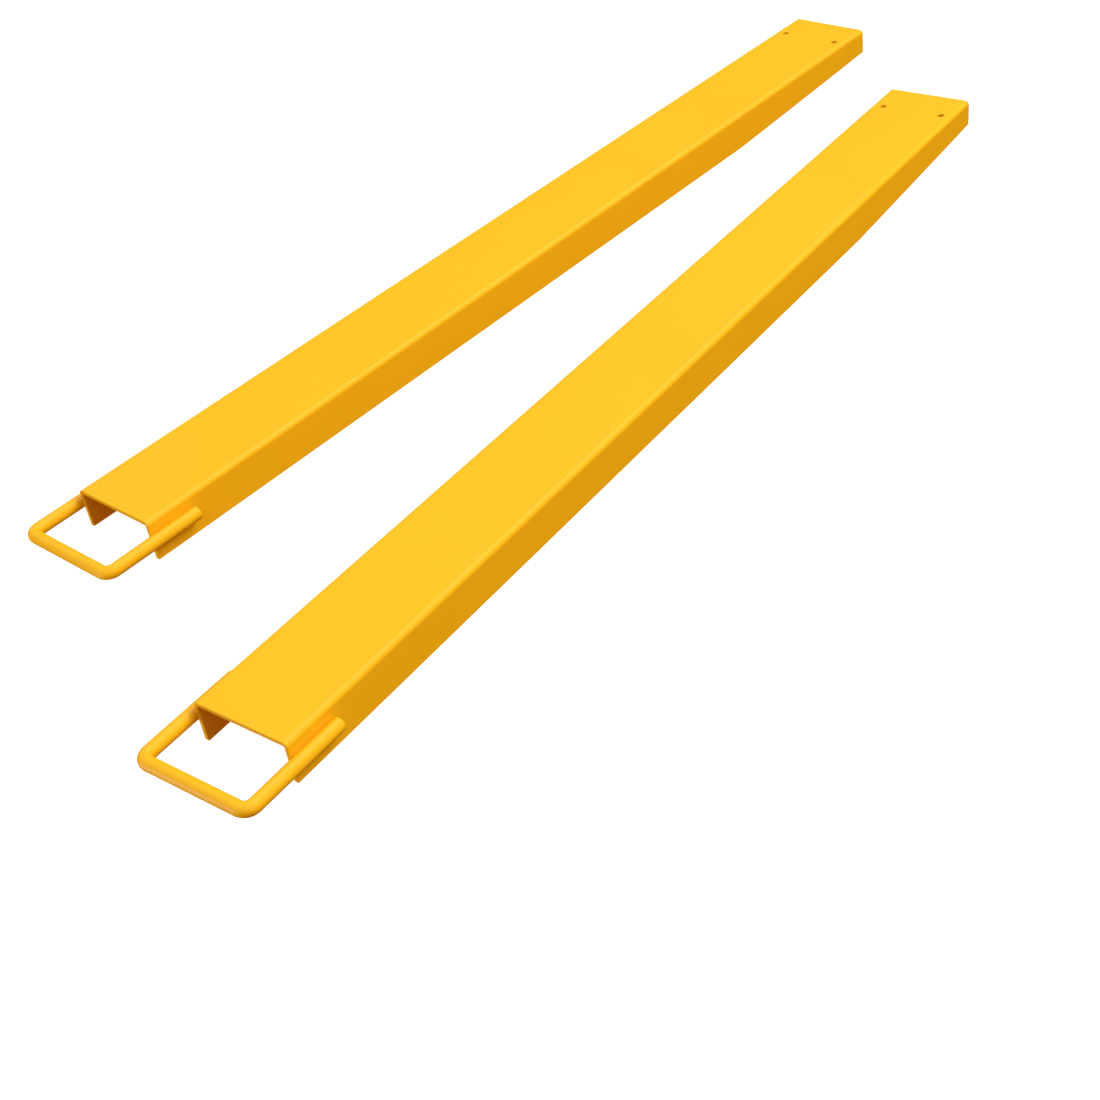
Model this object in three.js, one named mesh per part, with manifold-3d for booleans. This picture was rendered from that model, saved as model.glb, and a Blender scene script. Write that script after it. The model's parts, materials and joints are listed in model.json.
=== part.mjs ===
// A pair of pallet fork extensions: the steel sleeves that lengthen the two forks of a forklift truck.
//
// Each extension is a channel folded from one steel plate, open underneath so that it drops over a fork, with
// its side flanges cut away towards the tip. A round bar bent to a U is welded to the outsides of the flanges
// at the rear. It reaches round the upright shank of the fork and keeps the extension from sliding forward.
//
// Millimetres, +Z up. Each extension is made with its rear end on x = 0, its tip towards +X and its flanges
// standing on z = 0. The pair lies on the floor as it is set down loose: the left extension along X, and the
// right one beside it, further back and turned a few degrees towards it.
import * as THREE from "three";
import { mergeVertices } from "three/addons/utils/BufferGeometryUtils.js";
import Module from "manifold-3d";

const wasm = await Module();
wasm.setup();

// Driving dimensions: the folded channel.
const LENGTH = 1829; // 72 inches
const WIDTH = 155; // over the flanges, for forks up to 140 mm wide
const HEIGHT = 65;
const PLATE = 6; // plate thickness
const BEND_RADIUS = 7.5; // outside of the folds
const TIP_HEIGHT = 45;
const TAPER_LENGTH = 420;
const HOLE_DIAMETER = 12; // the two drain and hanging holes near the tip
const HOLE_SPACING = 112;
const HOLE_FROM_TIP = 71;

// Driving dimensions: the retaining loop.
const BAR_DIAMETER = 20;
const BAR_BELOW_TOP = 26.5; // from the top face to the bar's axis
const LOOP_REACH = 87; // from the channel's rear end back to the crossbar's axis
const LEG_LAP = 77; // the length of leg that lies along the flange
const LOOP_BEND_RADIUS = 14; // of the bar's axis, round a corner

// Driving dimensions: the fillet welds that hold the loop's legs.
const WELD_LENGTH = 70;
const WELD_START = 3; // from the channel's rear end
const FIT_GAP = 0.3; // left between pieces that touch

// Where the right extension's rear end lies, from the left one's.
const RIGHT_SET_BACK = 198;
const RIGHT_SPACING = 490.5;
const RIGHT_TURN = THREE.MathUtils.degToRad(4.6);

// Curve segments. three.js draws an arc, or a whole circle, with twice as many as it is told.
const BEND_SEGMENTS = 4;
const BAR_SEGMENTS = 9;
const BAR_STEPS = 84;
const HOLE_SIDES = 32;
const OVERCUT = 10; // how far a cutting tool runs past what it cuts

const BAR_RADIUS = BAR_DIAMETER / 2;
const BAR_HEIGHT = HEIGHT - BAR_BELOW_TOP;
const LEG_OFFSET = WIDTH / 2 + FIT_GAP + BAR_RADIUS; // from the channel's middle to a leg's axis

const X = new THREE.Vector3(1, 0, 0);
const Y = new THREE.Vector3(0, 1, 0);
const Z = new THREE.Vector3(0, 0, 1);

const powderCoat = new THREE.MeshStandardMaterial({ color: 0xf4bd1d, roughness: 0.45, metalness: 0 });
const barCoat = new THREE.MeshStandardMaterial({ color: 0xf6c022, roughness: 0.4, metalness: 0 });
const weldCoat = new THREE.MeshStandardMaterial({ color: 0xedb01c, roughness: 0.55, metalness: 0 });

// A closed geometry as a manifold-3d solid.
function solidOf(geometry) {
  const bare = geometry.clone();
  bare.deleteAttribute("normal");
  bare.deleteAttribute("uv");
  const merged = mergeVertices(bare, 1e-4);
  return new wasm.Manifold(
    new wasm.Mesh({
      numProp: 3,
      vertProperties: new Float32Array(merged.attributes.position.array),
      triVerts: new Uint32Array(merged.index.array),
    }),
  );
}

// A manifold-3d solid as a geometry again.
function geometryOf(solid) {
  const mesh = solid.getMesh();
  const geometry = new THREE.BufferGeometry();
  geometry.setAttribute("position", new THREE.BufferAttribute(mesh.vertProperties, 3));
  geometry.setIndex(new THREE.BufferAttribute(mesh.triVerts, 1));
  geometry.computeVertexNormals();
  return geometry;
}

// A shape drawn in Y and Z, extruded along +X from `from` over `length`.
function extrudeAlongX(shape, from, length) {
  const geometry = new THREE.ExtrudeGeometry(shape, {
    depth: length,
    bevelEnabled: false,
    curveSegments: BEND_SEGMENTS,
  });
  geometry.applyMatrix4(new THREE.Matrix4().makeBasis(Y, Z, X).setPosition(from, 0, 0));
  return geometry;
}

// The channel's section: a plate folded down at both sides.
function channelSection() {
  const half = WIDTH / 2;
  const inner = half - PLATE;
  const bendY = half - BEND_RADIUS;
  const bendZ = HEIGHT - BEND_RADIUS;
  const insideRadius = BEND_RADIUS - PLATE;
  const section = new THREE.Shape();
  section.moveTo(half, 0);
  section.lineTo(half, bendZ);
  section.absarc(bendY, bendZ, BEND_RADIUS, 0, Math.PI / 2, false);
  section.absarc(-bendY, bendZ, BEND_RADIUS, Math.PI / 2, Math.PI, false);
  section.lineTo(-half, 0);
  section.lineTo(-inner, 0);
  section.absarc(-bendY, bendZ, insideRadius, Math.PI, Math.PI / 2, true);
  section.absarc(bendY, bendZ, insideRadius, Math.PI / 2, 0, true);
  section.lineTo(inner, 0);
  section.closePath();
  return section;
}

// What is cut from under the flanges so that they taper to the tip.
function taperCut() {
  const slope = (HEIGHT - TIP_HEIGHT) / TAPER_LENGTH;
  const start = LENGTH - TAPER_LENGTH;
  const below = -2 * OVERCUT;
  const side = new THREE.Shape();
  side.moveTo(start - OVERCUT, -OVERCUT * slope);
  side.lineTo(start - OVERCUT, below);
  side.lineTo(LENGTH + OVERCUT, below);
  side.lineTo(LENGTH + OVERCUT, (TAPER_LENGTH + OVERCUT) * slope);
  side.closePath();
  const depth = WIDTH + 2 * OVERCUT;
  const geometry = new THREE.ExtrudeGeometry(side, { depth, bevelEnabled: false });
  const acrossRight = Y.clone().negate();
  geometry.applyMatrix4(new THREE.Matrix4().makeBasis(X, Z, acrossRight).setPosition(0, depth / 2, 0));
  return geometry;
}

// One hole down through the plate near the tip, on the side that `sign` gives.
function holeCut(sign) {
  const radius = HOLE_DIAMETER / 2;
  const geometry = new THREE.CylinderGeometry(radius, radius, PLATE + 2 * OVERCUT, HOLE_SIDES);
  geometry.rotateX(Math.PI / 2);
  geometry.translate(LENGTH - HOLE_FROM_TIP, (sign * HOLE_SPACING) / 2, HEIGHT - PLATE / 2);
  return geometry;
}

function makeChannel() {
  let solid = solidOf(extrudeAlongX(channelSection(), 0, LENGTH));
  solid = solid.subtract(solidOf(taperCut()));
  for (const sign of [-1, 1]) solid = solid.subtract(solidOf(holeCut(sign)));
  return geometryOf(solid);
}

// A quarter turn of the bar's axis, from one leg into the crossbar or back, about (x, y).
class CornerCurve extends THREE.Curve {
  constructor(x, y, radius, startAngle, sweep) {
    super();
    Object.assign(this, { x, y, radius, startAngle, sweep });
  }

  getPoint(t, target = new THREE.Vector3()) {
    const angle = this.startAngle + t * this.sweep;
    const x = this.x + this.radius * Math.cos(angle);
    const y = this.y + this.radius * Math.sin(angle);
    return target.set(x, y, BAR_HEIGHT);
  }
}

// The bar's axis: forward end of one leg, back round the crossbar, and forward along the other leg.
function loopPath() {
  const radius = LOOP_BEND_RADIUS;
  const cornerX = -LOOP_REACH + radius;
  const cornerY = LEG_OFFSET - radius;
  const point = (x, y) => new THREE.Vector3(x, y, BAR_HEIGHT);
  const path = new THREE.CurvePath();
  path.add(new THREE.LineCurve3(point(LEG_LAP, LEG_OFFSET), point(cornerX, LEG_OFFSET)));
  path.add(new CornerCurve(cornerX, cornerY, radius, Math.PI / 2, Math.PI / 2));
  path.add(new THREE.LineCurve3(point(-LOOP_REACH, cornerY), point(-LOOP_REACH, -cornerY)));
  path.add(new CornerCurve(cornerX, -cornerY, radius, Math.PI, Math.PI / 2));
  path.add(new THREE.LineCurve3(point(cornerX, -LEG_OFFSET), point(LEG_LAP, -LEG_OFFSET)));
  return path;
}

function makeRetainingLoop() {
  const section = new THREE.Shape();
  section.absarc(0, 0, BAR_RADIUS, 0, 2 * Math.PI, false);
  return new THREE.ExtrudeGeometry(section, {
    steps: BAR_STEPS,
    curveSegments: BAR_SEGMENTS,
    extrudePath: loopPath(),
    bevelEnabled: false,
  });
}

// A fillet weld in the groove between a leg and its flange. `side` is +1 or -1 for the leg, and `over` is +1
// for the weld above the bar and -1 for the one below it.
function makeWeld(side, over) {
  const throatHeight = 4.5; // where the groove is wide enough for the weld to start, from the bar's axis
  const barToe = THREE.MathUtils.degToRad(125); // where the weld ends on the bar, from the outward side
  const flangeToe = 10.5; // where it ends on the flange, from the bar's axis
  const crown = 0.7; // how far its face stands out
  const clear = BAR_RADIUS + FIT_GAP;
  const root = Math.PI - Math.asin(throatHeight / clear);
  const toeY = clear * Math.cos(barToe);
  const toeZ = clear * Math.sin(barToe);
  const section = new THREE.Shape();
  section.moveTo(-BAR_RADIUS, throatHeight);
  section.absarc(0, 0, clear, root, barToe, true);
  section.quadraticCurveTo(
    (toeY - BAR_RADIUS) / 2 + crown,
    (toeZ + flangeToe) / 2 + 2 * crown,
    -BAR_RADIUS,
    flangeToe,
  );
  section.closePath();
  const solid = solidOf(extrudeAlongX(section, WELD_START, WELD_LENGTH));
  const placed = solid.scale([1, side, over]).translate([0, side * LEG_OFFSET, BAR_HEIGHT]);
  return geometryOf(placed);
}

function namedMesh(name, geometry, material) {
  const mesh = new THREE.Mesh(geometry, material);
  mesh.name = name;
  return mesh;
}

// One extension, for the fork on the side that `fork` names. `outboard` is +1 or -1, the side away from the
// other extension.
function makeExtension(fork, outboard) {
  const extension = new THREE.Group();
  extension.add(namedMesh(`${fork}_channel`, makeChannel(), powderCoat));
  extension.add(namedMesh(`${fork}_retaining_loop`, makeRetainingLoop(), barCoat));
  for (const [leg, side] of [["outboard", outboard], ["inboard", -outboard]]) {
    extension.add(namedMesh(`${fork}_${leg}_upper_weld`, makeWeld(side, 1), weldCoat));
    extension.add(namedMesh(`${fork}_${leg}_lower_weld`, makeWeld(side, -1), weldCoat));
  }
  return extension;
}

const left = makeExtension("left", 1);
const right = makeExtension("right", -1);
right.position.set(-RIGHT_SET_BACK, -RIGHT_SPACING, 0);
right.rotation.z = RIGHT_TURN;

// The origin is on the floor, under the middle of the pair's bounding box.
const pair = new THREE.Group();
pair.add(left, right);
const middle = new THREE.Box3().setFromObject(pair, true).getCenter(new THREE.Vector3());
pair.position.set(-middle.x, -middle.y, 0);

export default pair;
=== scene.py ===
"""A pair of pallet fork extensions, folded from steel plate and powder coated, on a pale studio floor.

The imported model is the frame: the overall sizes and the places come from it. This script puts a finished
piece in the place of each of its nodes: the two channels, the two retaining loops and the eight fillet welds.

Everything is in metres, +Z up. An extension is modelled with its rear end on x = 0, its tip towards +X and
its flanges standing on z = 0, and then it is moved to where the frame has it.
"""
import json
import math

import bmesh
import bpy
from bpy.props import (
    FloatProperty,
    FloatVectorProperty,
    IntProperty,
    PointerProperty,
)
from mathutils import Matrix, Vector


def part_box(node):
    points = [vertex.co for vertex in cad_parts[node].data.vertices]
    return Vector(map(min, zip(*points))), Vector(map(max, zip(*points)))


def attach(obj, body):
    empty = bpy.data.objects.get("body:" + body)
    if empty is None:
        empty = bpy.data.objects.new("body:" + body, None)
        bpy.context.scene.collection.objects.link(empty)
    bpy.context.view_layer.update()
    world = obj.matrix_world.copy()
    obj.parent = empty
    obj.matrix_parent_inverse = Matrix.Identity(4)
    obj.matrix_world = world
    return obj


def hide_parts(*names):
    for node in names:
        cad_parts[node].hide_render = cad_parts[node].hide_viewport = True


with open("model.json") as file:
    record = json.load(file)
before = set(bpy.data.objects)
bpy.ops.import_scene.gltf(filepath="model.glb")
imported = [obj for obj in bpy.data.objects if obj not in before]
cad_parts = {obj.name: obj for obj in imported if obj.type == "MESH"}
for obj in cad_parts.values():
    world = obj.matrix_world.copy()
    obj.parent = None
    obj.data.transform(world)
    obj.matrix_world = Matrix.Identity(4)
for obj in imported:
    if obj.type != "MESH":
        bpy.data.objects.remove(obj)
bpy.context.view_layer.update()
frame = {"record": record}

bl_info = {
    "name": "Pallet Fork Extensions",
    "version": (1, 0, 0),
    "blender": (4, 5, 0),
    "location": "View3D > Sidebar > Fork Extensions",
    "description": "A pair of folded steel fork extensions with welded retaining loops",
    "category": "Add Mesh",
}

FORKS = {"left": 1, "right": -1}  # and the side of each that faces away from the other one
MM = 0.001
SHARP = math.radians(45)  # an edge that turns by more than this is a cut edge, and not part of a bend
ROUNDING_SEGMENTS = 3  # faces across a small rounded edge

# What the frame says about one extension, from the left one, which lies along X.
CHANNEL_LOW, CHANNEL_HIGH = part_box("left_channel")
LOOP_LOW, LOOP_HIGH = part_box("left_retaining_loop")
WELD_LOW, WELD_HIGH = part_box("left_outboard_upper_weld")
LENGTH, WIDTH, HEIGHT = CHANNEL_HIGH - CHANNEL_LOW
BAR_DIAMETER = LOOP_HIGH.z - LOOP_LOW.z
BAR_HEIGHT = (LOOP_HIGH.z + LOOP_LOW.z) / 2
LOOP_REACH = CHANNEL_LOW.x - LOOP_LOW.x - BAR_DIAMETER / 2  # back to the crossbar's axis
LEG_LAP = LOOP_HIGH.x - CHANNEL_LOW.x
LEG_OFFSET = (LOOP_HIGH.y - LOOP_LOW.y - BAR_DIAMETER) / 2  # from the middle to a leg's axis


def mount(name):
    """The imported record's mount of that name."""
    return next(m for m in frame["record"]["mounts"] if m["name"] == name)


def fork_place(fork):
    """The matrix that takes an extension from its own place to where the frame has it."""
    rear = mount(f"{fork}_shank_stop")
    x, y, _ = rear["pos_m"]
    backward = rear["axis"]
    turn = math.atan2(-backward[1], -backward[0])
    return Matrix.Translation((x, y, 0)) @ Matrix.Rotation(turn, 4, "Z")


# ---------------------------------------------------------------------------------------------- settings


def length(name, description, default):
    """A size in metres that the panel shows."""
    return FloatProperty(
        name=name,
        description=description,
        default=default,
        min=0,
        precision=5,
        subtype="DISTANCE",
        unit="LENGTH",
    )


def count(name, description, default):
    return IntProperty(name=name, description=description, default=default, min=1)


def colour(name, description, default):
    return FloatVectorProperty(
        name=name, description=description, default=default, subtype="COLOR", size=3, min=0, max=1
    )


def share(name, description, default):
    """A number from 0 to 1."""
    return FloatProperty(name=name, description=description, default=default, min=0, max=1)


class ChannelSettings(bpy.types.PropertyGroup):
    """The folded channel."""

    length: length("Length", "From the rear end to the tip", LENGTH)
    width: length("Width", "Over the flanges", WIDTH)
    height: length("Height", "From the flanges' lower edges to the top face", HEIGHT)
    plate: length("Plate", "Thickness of the plate", 6 * MM)
    bend_radius: length("Bend radius", "Outside radius of the folds", 7.5 * MM)
    tip_height: length("Tip height", "Height of the channel at the tip", 45 * MM)
    taper_length: length("Taper length", "How far the flanges taper", 420 * MM)
    corner_radius: length("Corner radius", "Of the flanges' lower corners", 2.5 * MM)
    hole_diameter: length("Hole diameter", "Of the holes near the tip", 12 * MM)
    hole_spacing: length("Hole spacing", "From hole to hole, across", 112 * MM)
    hole_from_tip: length("Hole from tip", "From the tip back to the holes", 71 * MM)
    edge_radius: length("Edge radius", "How far the coat rounds the cut edges", 0.8 * MM)
    bend_segments: count("Bend segments", "Faces round each fold", 14)
    hole_segments: count("Hole segments", "Faces round each quarter of a hole", 10)
    corner_segments: count("Corner segments", "Faces round each lower corner", 6)


class LoopSettings(bpy.types.PropertyGroup):
    """The retaining loop."""

    bar_diameter: length("Bar diameter", "Of the round bar", BAR_DIAMETER)
    bar_height: length("Bar height", "From the floor to the bar's axis", BAR_HEIGHT)
    reach: length("Reach", "From the channel's rear end back to the crossbar's axis", LOOP_REACH)
    leg_lap: length("Leg lap", "How much of a leg lies along the flange", LEG_LAP)
    leg_offset: length("Leg offset", "From the channel's middle to a leg's axis", LEG_OFFSET)
    bend_radius: length("Bend radius", "Of the bar's axis, round a corner", 14 * MM)
    end_radius: length("End radius", "Of the rim of a leg's sawn end", 2.2 * MM)
    sides: count("Sides", "Faces round the bar", 40)
    bend_segments: count("Bend segments", "Steps round each corner", 16)
    end_segments: count("End segments", "Faces across the rim of a sawn end", 5)


class WeldSettings(bpy.types.PropertyGroup):
    """The fillet welds."""

    start: length("Start", "From the channel's rear end", WELD_LOW.x - CHANNEL_LOW.x)
    bead_length: length("Length", "Of a bead", WELD_HIGH.x - WELD_LOW.x)
    bead_radius: length("Bead radius", "Of the round bead that fills the groove", 1.7 * MM)
    inward: length("Inward", "From the bar's axis to the bead's, towards the flange", 9.2 * MM)
    rise: length("Rise", "From the bar's axis to the bead's, up or down", 5.0 * MM)
    ripple_pitch: length("Ripple pitch", "From one ripple to the next", 2.6 * MM)
    ripple_depth: length("Ripple depth", "How far a ripple stands out", 0.12 * MM)
    steps_per_ripple: count("Steps per ripple", "Faces along each ripple", 6)
    sides: count("Sides", "Faces round a bead", 16)


class CoatSettings(bpy.types.PropertyGroup):
    """The yellow powder coat."""

    colour: colour("Colour", "Of the coat", (0.90, 0.472, 0.007))
    # The weld tint is painted shade: it darkens the welds' colour to stand for the shadow in the grooves
    # between the legs and the flanges.
    weld_shade_tint: colour("Weld tint", "How much of the colour is left, as painted shade in the grooves", (0.8, 0.62, 0.6))
    tone_spread: share("Tone spread", "How far the colour strays, up and down", 0.03)
    roughness: share("Roughness", "Of the coat", 0.36)
    weld_roughness: share("Weld roughness", "Of the coat on the welds", 0.56)
    roughness_spread: share("Roughness spread", "How far the roughness strays, up and down", 0.03)
    gloss: share("Gloss", "Strength of the coat's reflections", 0.3)
    cloud_size: length("Cloud size", "Across a cloud of even tone", 1 / 7)
    peel_size: length("Peel size", "From one orange peel dimple to the next", 1.6 * MM)
    peel_depth: length("Peel depth", "Of an orange peel dimple", 0.02 * MM)


class StageSettings(bpy.types.PropertyGroup):
    """The floor, the lights and the camera."""

    floor_size: length("Floor size", "Across the round floor", 40)
    sweep_radius: length("Sweep radius", "Of the curve from the floor up to the backdrop", 10)
    sweep_segments: count("Sweep segments", "Faces up that curve", 16)
    floor_segments: count("Floor segments", "Faces round the floor", 96)
    floor_colour: colour("Floor colour", "Of the floor", (0.4, 0.4, 0.4))
    floor_glow: share("Floor glow", "How far the floor is lit of itself", 0.94)
    sky: colour("Sky", "Light from above", (0.85, 0.85, 0.85))
    ground: colour("Ground", "Light thrown back from below", (0.23, 0.055, 0.01))
    far_side: share("Far side", "How much of the light comes from the far side of the room", 0.2)
    camera_place: FloatVectorProperty(
        name="Camera",
        description="Where the camera stands",
        subtype="TRANSLATION",
        size=3,
        default=(-1.74537, -1.60643, 1.43015),
    )
    camera_turn: FloatVectorProperty(
        name="Camera rotation",
        description="How the camera is turned",
        subtype="EULER",
        size=3,
        default=tuple(math.radians(a) for a in (51.7775, 7.1473, -49.9781)),
    )
    lens: FloatProperty(name="Lens", description="Focal length in millimetres", default=56.70, min=1)


class ForkExtensionSettings(bpy.types.PropertyGroup):
    """All the settings of the pair."""

    channel: PointerProperty(type=ChannelSettings)
    loop: PointerProperty(type=LoopSettings)
    weld: PointerProperty(type=WeldSettings)
    coat: PointerProperty(type=CoatSettings)
    stage: PointerProperty(type=StageSettings)


# --------------------------------------------------------------------------------------------- mesh tools


def everything(bm):
    return bm.verts[:] + bm.edges[:] + bm.faces[:]


def edges_of(geometry):
    return [g for g in geometry if isinstance(g, bmesh.types.BMEdge)]


def verts_of(geometry):
    return [g for g in geometry if isinstance(g, bmesh.types.BMVert)]


def round_off(bm, geometry, radius, segments, affect="EDGES"):
    """Bevels edges or corners to an arc."""
    return bmesh.ops.bevel(
        bm,
        geom=geometry,
        offset=radius,
        segments=segments,
        profile=0.5,
        affect=affect,
        material=-1,
        clamp_overlap=False,
    )


def finish_piece(bm, name, fork, material):
    """Makes a mesh a piece that stands for the node of that name and rides on its extension."""
    bmesh.ops.transform(bm, matrix=fork_place(fork), verts=bm.verts)
    mesh = bpy.data.meshes.new(name)
    bm.to_mesh(mesh)
    bm.free()
    mesh.shade_smooth()
    mesh.materials.append(material)
    piece = bpy.data.objects.new(f"{name}_coated", mesh)
    bpy.context.scene.collection.objects.link(piece)
    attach(piece, f"{fork}_extension")
    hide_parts(name)
    return piece


# ---------------------------------------------------------------------------------------------- materials


def coat_material(name, coat, base, roughness):
    """Powder coat: a satin paint with orange peel, a little uneven in tone and in gloss."""
    material = bpy.data.materials.new(name)
    material.use_nodes = True
    nodes, links = material.node_tree.nodes, material.node_tree.links
    shader = nodes["Principled BSDF"]
    shader.inputs["IOR"].default_value = 1.5
    shader.inputs["Specular IOR Level"].default_value = coat.gloss
    place = nodes.new("ShaderNodeTexCoord")

    # Clouds a hand wide shift the tone and the gloss.
    clouds = nodes.new("ShaderNodeTexNoise")
    clouds.inputs["Scale"].default_value = 1 / coat.cloud_size
    clouds.inputs["Detail"].default_value = 3
    links.new(place.outputs["Object"], clouds.inputs["Vector"])
    tone = nodes.new("ShaderNodeMix")
    tone.data_type = "RGBA"
    tone.inputs["A"].default_value = [c * (1 - coat.tone_spread) for c in base] + [1]
    tone.inputs["B"].default_value = [c * (1 + coat.tone_spread) for c in base] + [1]
    links.new(clouds.outputs["Fac"], tone.inputs["Factor"])
    links.new(tone.outputs["Result"], shader.inputs["Base Color"])
    gloss = nodes.new("ShaderNodeMapRange")
    gloss.inputs["To Min"].default_value = roughness - coat.roughness_spread
    gloss.inputs["To Max"].default_value = roughness + coat.roughness_spread
    links.new(clouds.outputs["Fac"], gloss.inputs["Value"])
    links.new(gloss.outputs["Result"], shader.inputs["Roughness"])

    # Orange peel.
    peel = nodes.new("ShaderNodeTexNoise")
    peel.inputs["Scale"].default_value = 1 / coat.peel_size
    peel.inputs["Detail"].default_value = 1
    links.new(place.outputs["Object"], peel.inputs["Vector"])
    bump = nodes.new("ShaderNodeBump")
    bump.inputs["Strength"].default_value = 1
    bump.inputs["Distance"].default_value = coat.peel_depth
    links.new(peel.outputs["Fac"], bump.inputs["Height"])
    links.new(bump.outputs["Normal"], shader.inputs["Normal"])
    return material


# ---------------------------------------------------------------------------------------------- the channel


def folded_sheet(s):
    """The outside of the channel as one sheet: folded down at both sides, its flanges cut to a taper."""
    bm = bmesh.new()
    half = s.width / 2
    outline = [(half, 0), (half, s.height), (-half, s.height), (-half, 0)]
    corners = [bm.verts.new((0, y, z)) for y, z in outline]
    rear = [bm.edges.new(pair) for pair in zip(corners, corners[1:])]
    swept = bmesh.ops.extrude_edge_only(bm, edges=rear)["geom"]
    bmesh.ops.translate(bm, verts=verts_of(swept), vec=(s.length, 0, 0))
    slope = Vector((s.height - s.tip_height, 0, -s.taper_length))
    start = (s.length - s.taper_length, 0, 0)
    bmesh.ops.bisect_plane(bm, geom=everything(bm), plane_co=start, plane_no=slope, clear_outer=True)
    return bm


def round_flange_corners(bm, s):
    """Rounds the lower corners of the flanges at the rear end and at the tip."""
    lowest = {0: 0, s.length: s.height - s.tip_height}
    corners = [
        v
        for v in bm.verts
        for x, z in lowest.items()
        if abs(v.co.x - x) < MM and abs(v.co.z - z) < MM
    ]
    round_off(bm, corners, s.corner_radius, s.corner_segments, affect="VERTICES")


def round_folds(bm, s):
    folds = [e for e in bm.edges if all(v.co.z > s.height - MM for v in e.verts) and len(e.link_faces) == 2]
    round_off(bm, folds, s.bend_radius, s.bend_segments)


def cut_holes(bm, s):
    """Cuts the two holes near the tip: each one is a ring of faces set in a square of the top face."""
    margin = s.hole_diameter  # from a hole's centre to the sides of its square
    sliver = margin / 100  # the ring's width before its inside is moved to the hole's edge
    middle = s.length - s.hole_from_tip
    centres = [Vector((middle, side * s.hole_spacing / 2, s.height)) for side in (1, -1)]
    across = [(centres[0] + Vector((d, 0, 0)), (1, 0, 0)) for d in (-margin, margin)]
    along = [(c + Vector((0, d, 0)), (0, 1, 0)) for c in centres for d in (-margin, margin)]
    for point, normal in across + along:
        bmesh.ops.bisect_plane(bm, geom=everything(bm), plane_co=point, plane_no=normal)
    for centre in centres:
        square = min(bm.faces, key=lambda f: (f.calc_center_median() - centre).length)
        sides = square.edges[:]
        bmesh.ops.delete(bm, geom=[square], context="FACES_ONLY")
        cut = bmesh.ops.subdivide_edges(bm, edges=sides, cuts=s.hole_segments - 1)
        rim = set(edges_of(cut["geom_split"])) | set(edges_of(cut["geom_inner"]))
        square_edges = [e for e in rim if len(e.link_faces) == 1]
        middle_face = bmesh.ops.contextual_create(bm, geom=square_edges)["faces"][0]
        bmesh.ops.inset_individual(bm, faces=[middle_face], thickness=sliver)
        for v in middle_face.verts:
            v.co = centre + to_circle(v.co - centre, s.hole_diameter / 2)
        bmesh.ops.delete(bm, geom=[middle_face], context="FACES_ONLY")


def to_circle(point, radius):
    """Takes a point on a square round the origin to a circle, so that even steps round the one stay even."""
    angle = math.atan2(point.y, point.x)
    side = round(angle / (math.pi / 2)) * math.pi / 2
    even = side + math.tan(angle - side) * math.pi / 4
    return Vector((radius * math.cos(even), radius * math.sin(even), 0))


def make_channel(s):
    bm = folded_sheet(s)
    round_flange_corners(bm, s)
    round_folds(bm, s)
    cut_holes(bm, s)
    bmesh.ops.recalc_face_normals(bm, faces=bm.faces)
    top = max(bm.faces, key=lambda f: f.calc_area())
    if top.normal.z < 0:
        bmesh.ops.reverse_faces(bm, faces=bm.faces)
    bmesh.ops.solidify(bm, geom=bm.faces[:], thickness=s.plate)
    cut_edges = [e for e in bm.edges if e.calc_face_angle(0) > SHARP]
    round_off(bm, cut_edges, s.edge_radius, ROUNDING_SEGMENTS)
    return bm


class FORKEXT_OT_channels(bpy.types.Operator):
    """Make the two folded channels"""

    bl_idname = "fork_extensions.channels"
    bl_label = "Channels"

    def execute(self, context):
        settings = context.scene.fork_extensions
        coat = settings.coat
        material = coat_material("channel_powder_coat", coat, coat.colour, coat.roughness)
        for fork in FORKS:
            bm = make_channel(settings.channel)
            piece = finish_piece(bm, f"{fork}_channel", fork, material)
            weighted = piece.modifiers.new("Flat faces stay flat", "WEIGHTED_NORMAL")
            weighted.weight = 100
        return {"FINISHED"}


# ------------------------------------------------------------------------------------- the retaining loop


def pull(bm, edges, vector):
    """Extrudes a ring of edges by a vector, and gives the new ring."""
    made = bmesh.ops.extrude_edge_only(bm, edges=edges)["geom"]
    bmesh.ops.translate(bm, verts=verts_of(made), vec=vector)
    return edges_of(made)


def bend(bm, edges, centre, angle, steps):
    """Sweeps a ring of edges round an upright axis, and gives the new ring."""
    verts = list({v for e in edges for v in e.verts})
    made = bmesh.ops.spin(
        bm, geom=verts + edges, cent=centre, axis=(0, 0, 1), dvec=(0, 0, 0), angle=angle, steps=steps
    )
    return edges_of(made["geom_last"])


def make_loop(s):
    """A round bar: along one leg, round a corner, across, round the other corner and along the other leg."""
    bm = bmesh.new()
    cornered = s.reach - s.bend_radius
    across = s.leg_offset - s.bend_radius
    facing = Matrix.Rotation(math.pi / 2, 4, "Y")
    end = Matrix.Translation((s.leg_lap, s.leg_offset, s.bar_height))
    bmesh.ops.create_circle(bm, segments=s.sides, radius=s.bar_diameter / 2, matrix=end @ facing)
    ring = bm.edges[:]
    ends = [ring]
    ring = pull(bm, ring, (-s.leg_lap - cornered, 0, 0))
    ring = bend(bm, ring, (-cornered, across, s.bar_height), math.pi / 2, s.bend_segments)
    ring = pull(bm, ring, (0, -2 * across, 0))
    ring = bend(bm, ring, (-cornered, -across, s.bar_height), math.pi / 2, s.bend_segments)
    ring = pull(bm, ring, (s.leg_lap + cornered, 0, 0))
    ends.append(ring)
    for rim in ends:
        bmesh.ops.contextual_create(bm, geom=rim)
    bmesh.ops.remove_doubles(bm, verts=bm.verts, dist=0.01 * MM)
    bmesh.ops.recalc_face_normals(bm, faces=bm.faces)
    rims = [e for e in bm.edges if e.calc_face_angle(0) > SHARP]
    round_off(bm, rims, s.end_radius, s.end_segments)
    # A narrow border keeps the shading of each sawn face flat up to its rim.
    border = s.end_radius / 4
    sawn = [f for f in bm.faces if len(f.verts) == s.sides]
    bmesh.ops.inset_individual(bm, faces=sawn, thickness=border)
    return bm


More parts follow.
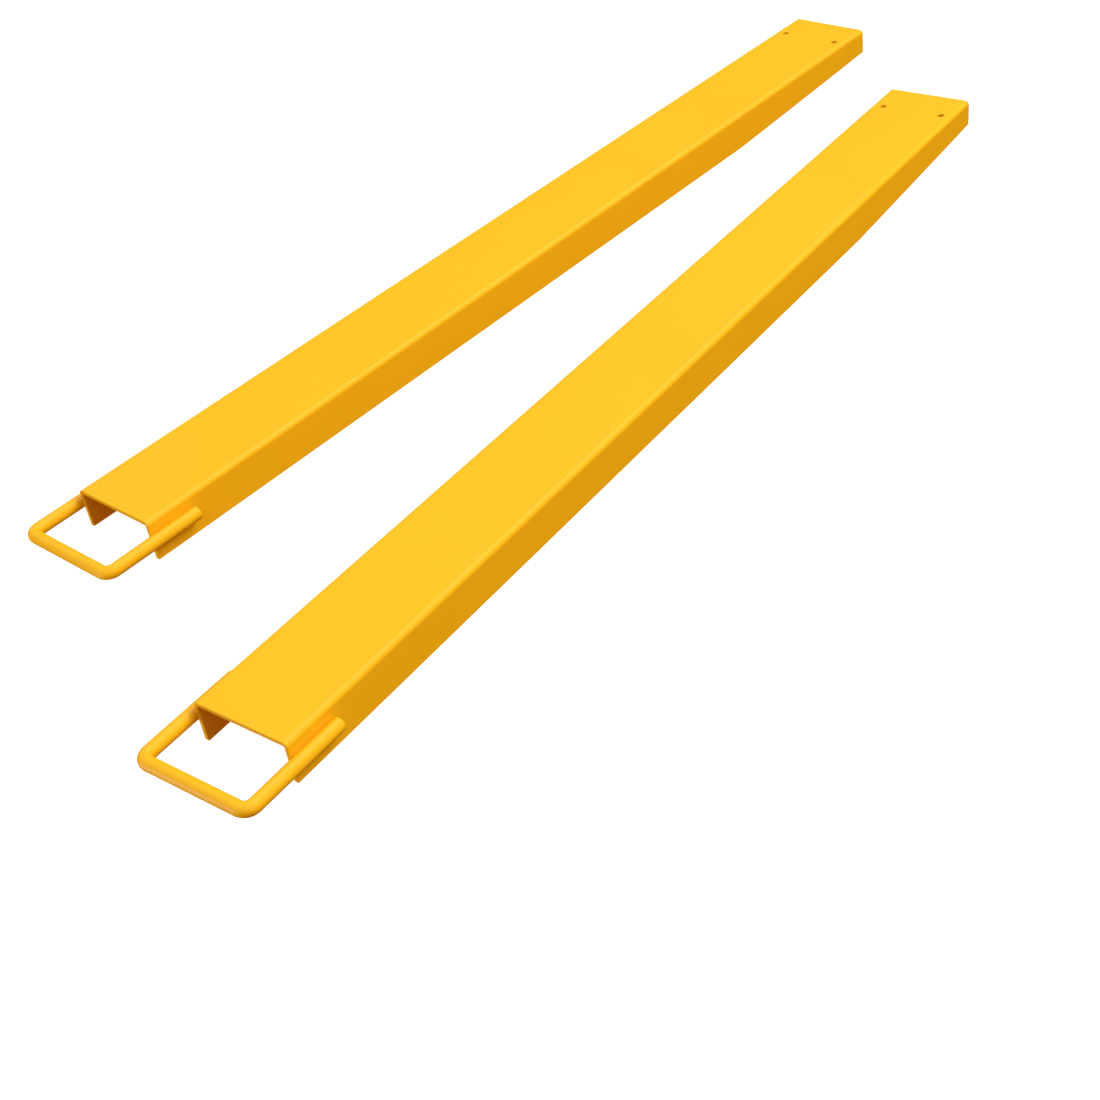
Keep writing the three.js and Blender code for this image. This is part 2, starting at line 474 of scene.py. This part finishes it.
class FORKEXT_OT_loops(bpy.types.Operator):
    """Bend the two retaining loops"""

    bl_idname = "fork_extensions.loops"
    bl_label = "Retaining loops"

    def execute(self, context):
        settings = context.scene.fork_extensions
        coat = settings.coat
        material = coat_material("loop_powder_coat", coat, coat.colour, coat.roughness)
        for fork in FORKS:
            bm = make_loop(settings.loop)
            finish_piece(bm, f"{fork}_retaining_loop", fork, material)
        return {"FINISHED"}


# ---------------------------------------------------------------------------------------------- the welds


def make_weld(s, loop, side, over):
    """A rippled bead in the groove between a leg and its flange. over is 1 above the bar and -1 below."""
    bm = bmesh.new()
    steps = round(s.bead_length / s.ripple_pitch) * s.steps_per_ripple
    step = s.bead_length / steps
    facing = Matrix.Rotation(math.pi / 2, 4, "Y")
    bmesh.ops.create_circle(bm, segments=s.sides, radius=s.bead_radius, matrix=facing, cap_ends=True)
    cap = bm.faces[:]
    for _ in range(steps):
        made = bmesh.ops.extrude_face_region(bm, geom=cap)["geom"]
        cap = [g for g in made if isinstance(g, bmesh.types.BMFace)]
        bmesh.ops.translate(bm, verts=verts_of(made), vec=(step, 0, 0))
    bmesh.ops.recalc_face_normals(bm, faces=bm.faces)
    tapered = 2 * s.bead_radius  # the length over which each end of the bead rounds off
    blunt = 0.05  # how much of the bead's section is left at its very ends
    lean = 0.3 * s.bead_radius  # how far the crown of a ripple trails its foot
    for v in bm.verts:
        ripple = math.sin(math.pi * v.co.x / step / s.steps_per_ripple) ** 2
        from_end = min(1, min(v.co.x, s.bead_length - v.co.x) / tapered)
        rounding = math.sqrt(max(blunt, 1 - (1 - from_end) ** 2))
        scale = (1 - s.ripple_depth / s.bead_radius * (1 - ripple)) * rounding
        v.co.x -= lean * (v.co.z / s.bead_radius) ** 2 * from_end
        v.co.y *= scale
        v.co.z *= scale
    y = side * (loop.leg_offset - s.inward)
    z = loop.bar_height + over * s.rise
    bmesh.ops.translate(bm, verts=bm.verts, vec=(s.start, y, z))
    return bm


class FORKEXT_OT_welds(bpy.types.Operator):
    """Lay the fillet welds that hold the loops"""

    bl_idname = "fork_extensions.welds"
    bl_label = "Fillet welds"

    def execute(self, context):
        settings = context.scene.fork_extensions
        coat = settings.coat
        # The welds take the coat's colour darkened by the weld tint, as painted shade in the grooves.
        shaded_weld_colour = [c * t for c, t in zip(coat.colour, coat.weld_shade_tint)]
        material = coat_material("weld_powder_coat", coat, shaded_weld_colour, coat.weld_roughness)
        for fork, outboard in FORKS.items():
            for leg, side in (("outboard", outboard), ("inboard", -outboard)):
                for level, over in (("upper", 1), ("lower", -1)):
                    bm = make_weld(settings.weld, settings.loop, side, over)
                    name = f"{fork}_{leg}_{level}_weld"
                    finish_piece(bm, name, fork, material)
        return {"FINISHED"}


# ---------------------------------------------------------------------------------------------- the stage


def add_floor(s):
    """A round pale floor that curves up into a backdrop. It doesn't light or shade the extensions."""
    bm = bmesh.new()
    flat = s.floor_size / 2 - s.sweep_radius
    start = bm.verts.new((0, 0, 0))
    edge = bm.verts.new((flat, 0, 0))
    bm.edges.new((start, edge))
    bmesh.ops.spin(
        bm,
        geom=[edge],
        cent=(flat, 0, s.sweep_radius),
        axis=(0, -1, 0),
        dvec=(0, 0, 0),
        angle=math.pi / 2,
        steps=s.sweep_segments,
    )
    bmesh.ops.spin(
        bm,
        geom=bm.verts[:] + bm.edges[:],
        cent=(0, 0, 0),
        axis=(0, 0, 1),
        dvec=(0, 0, 0),
        angle=2 * math.pi,
        steps=s.floor_segments,
        use_merge=True,
    )
    bmesh.ops.remove_doubles(bm, verts=bm.verts, dist=MM)
    bmesh.ops.recalc_face_normals(bm, faces=bm.faces)
    mesh = bpy.data.meshes.new("floor")
    bm.to_mesh(mesh)
    bm.free()
    mesh.shade_smooth()
    floor = bpy.data.objects.new("floor", mesh)
    bpy.context.scene.collection.objects.link(floor)
    material = bpy.data.materials.new("floor_paint")
    material.use_nodes = True
    shader = material.node_tree.nodes["Principled BSDF"]
    shader.inputs["Base Color"].default_value = [*s.floor_colour, 1]
    shader.inputs["Roughness"].default_value = 0.9
    shader.inputs["Specular IOR Level"].default_value = 0
    shader.inputs["Emission Color"].default_value = (1, 1, 1, 1)
    shader.inputs["Emission Strength"].default_value = s.floor_glow
    mesh.materials.append(material)
    floor.visible_diffuse = False
    floor.visible_glossy = False
    floor.visible_shadow = False


def add_sky(s):
    """White light from above, and dimmer, warmer light from below."""
    low, high = -0.2, 0.9  # the heights in the sky between which the one turns into the other
    far_side = (0.8, 0.6, 0)
    world = bpy.data.worlds.new("studio")
    world.use_nodes = True
    bpy.context.scene.world = world
    nodes, links = world.node_tree.nodes, world.node_tree.links
    background = nodes["Background"]
    place = nodes.new("ShaderNodeTexCoord")
    split = nodes.new("ShaderNodeSeparateXYZ")
    links.new(place.outputs["Generated"], split.inputs["Vector"])
    above = nodes.new("ShaderNodeMapRange")
    above.interpolation_type = "SMOOTHSTEP"
    above.inputs["From Min"].default_value = low
    above.inputs["From Max"].default_value = high
    links.new(split.outputs["Z"], above.inputs["Value"])
    # The far side of the room is dimmer, so that the long top faces mirror less of it.
    behind = nodes.new("ShaderNodeVectorMath")
    behind.operation = "DOT_PRODUCT"
    behind.inputs[1].default_value = far_side
    links.new(place.outputs["Generated"], behind.inputs[0])
    dimmed = nodes.new("ShaderNodeMapRange")
    dimmed.inputs["To Min"].default_value = 1
    dimmed.inputs["To Max"].default_value = s.far_side
    links.new(behind.outputs["Value"], dimmed.inputs["Value"])
    links.new(dimmed.outputs["Result"], background.inputs["Strength"])
    light = nodes.new("ShaderNodeMix")
    light.data_type = "RGBA"
    light.inputs["A"].default_value = [*s.ground, 1]
    light.inputs["B"].default_value = [*s.sky, 1]
    links.new(above.outputs["Result"], light.inputs["Factor"])
    links.new(light.outputs["Result"], background.inputs["Color"])


# The soft lights: where each stands, the point it faces, its length and width in metres, its power in watts,
# and whether it is seen in the coat's gloss or only lights it.
SOFTBOXES = {
    # The main light, high beside the right extension.
    "key": dict(place=(2.75, -5.3, 6.6), target=(0, 0, 0), size=(5, 5), power=665, mirrored=False),
    # The long soft highlights on the folds and the legs.
    "strip": dict(place=(2.4, 0.3, 3.9), target=(2.4, 0.3, 0), size=(5, 2.6), power=90, mirrored=True),
    # Lights the sides that face away from the key.
    "back_fill": dict(place=(0.5, 6, 2.2), target=(0, 0, 0), size=(3, 3), power=140, mirrored=False),
    # Lights the sawn rear ends and the undersides of the crossbars, from below the floor's level.
    "rear_fill": dict(
        place=(-2.8, 0.96, -0.69), target=(-1.2, 0, 0.03), size=(1.5, 1.5), power=32, mirrored=False
    ),
    # The highlight low on the right crossbar.
    "rear_glow": dict(
        place=(-2.69, 0.86, -0.16), target=(-1.05, -0.26, 0.04), size=(0.9, 0.9), power=6, mirrored=True
    ),
}


def add_softbox(name, place, target, size, power, mirrored):
    """A soft light that faces a point. A mirrored one makes only highlights, and any other makes none."""
    light = bpy.data.lights.new(name, "AREA")
    light.shape = "RECTANGLE"
    light.size, light.size_y = size
    light.energy = power
    box = bpy.data.objects.new(name, light)
    box.location = place
    box.rotation_euler = (Vector(place) - Vector(target)).to_track_quat("Z", "Y").to_euler()
    box.visible_glossy = mirrored
    box.visible_diffuse = not mirrored
    bpy.context.scene.collection.objects.link(box)


def add_camera(s):
    camera = bpy.data.objects.new("camera", bpy.data.cameras.new("camera"))
    camera.location = s.camera_place
    camera.rotation_euler = s.camera_turn
    camera.data.lens = s.lens
    camera.data.clip_end = 5 * s.floor_size
    bpy.context.scene.collection.objects.link(camera)
    bpy.context.scene.camera = camera


class FORKEXT_OT_stage(bpy.types.Operator):
    """Set up the floor, the lights and the camera"""

    bl_idname = "fork_extensions.stage"
    bl_label = "Stage"

    def execute(self, context):
        settings = context.scene.fork_extensions.stage
        add_floor(settings)
        add_sky(settings)
        for name, softbox in SOFTBOXES.items():
            add_softbox(name, **softbox)
        add_camera(settings)
        context.scene.view_settings.view_transform = "Standard"
        context.scene.view_settings.look = "None"
        return {"FINISHED"}


# ------------------------------------------------------------------------------------------- the add-on


STEPS = (FORKEXT_OT_channels, FORKEXT_OT_loops, FORKEXT_OT_welds, FORKEXT_OT_stage)


class FORKEXT_PT_panel(bpy.types.Panel):
    """Lists the steps that make the pair"""

    bl_idname = "FORKEXT_PT_panel"
    bl_label = "Fork Extensions"
    bl_space_type = "VIEW_3D"
    bl_region_type = "UI"
    bl_category = "Fork Extensions"

    def draw(self, context):
        for step in STEPS:
            self.layout.operator(step.bl_idname)
        settings = context.scene.fork_extensions
        for group in (settings.channel, settings.loop, settings.weld, settings.coat, settings.stage):
            box = self.layout.box()
            for name in group.bl_rna.properties.keys():
                if name not in {"rna_type", "name"}:
                    box.prop(group, name)


CLASSES = (
    ChannelSettings,
    LoopSettings,
    WeldSettings,
    CoatSettings,
    StageSettings,
    ForkExtensionSettings,
    *STEPS,
    FORKEXT_PT_panel,
)


def register():
    for cls in CLASSES:
        bpy.utils.register_class(cls)
    bpy.types.Scene.fork_extensions = PointerProperty(type=ForkExtensionSettings)


def unregister():
    del bpy.types.Scene.fork_extensions
    for cls in reversed(CLASSES):
        bpy.utils.unregister_class(cls)


def main():
    register()
    bpy.ops.fork_extensions.channels()
    bpy.ops.fork_extensions.loops()
    bpy.ops.fork_extensions.welds()
    bpy.ops.fork_extensions.stage()


if __name__ == "__main__":
    main()
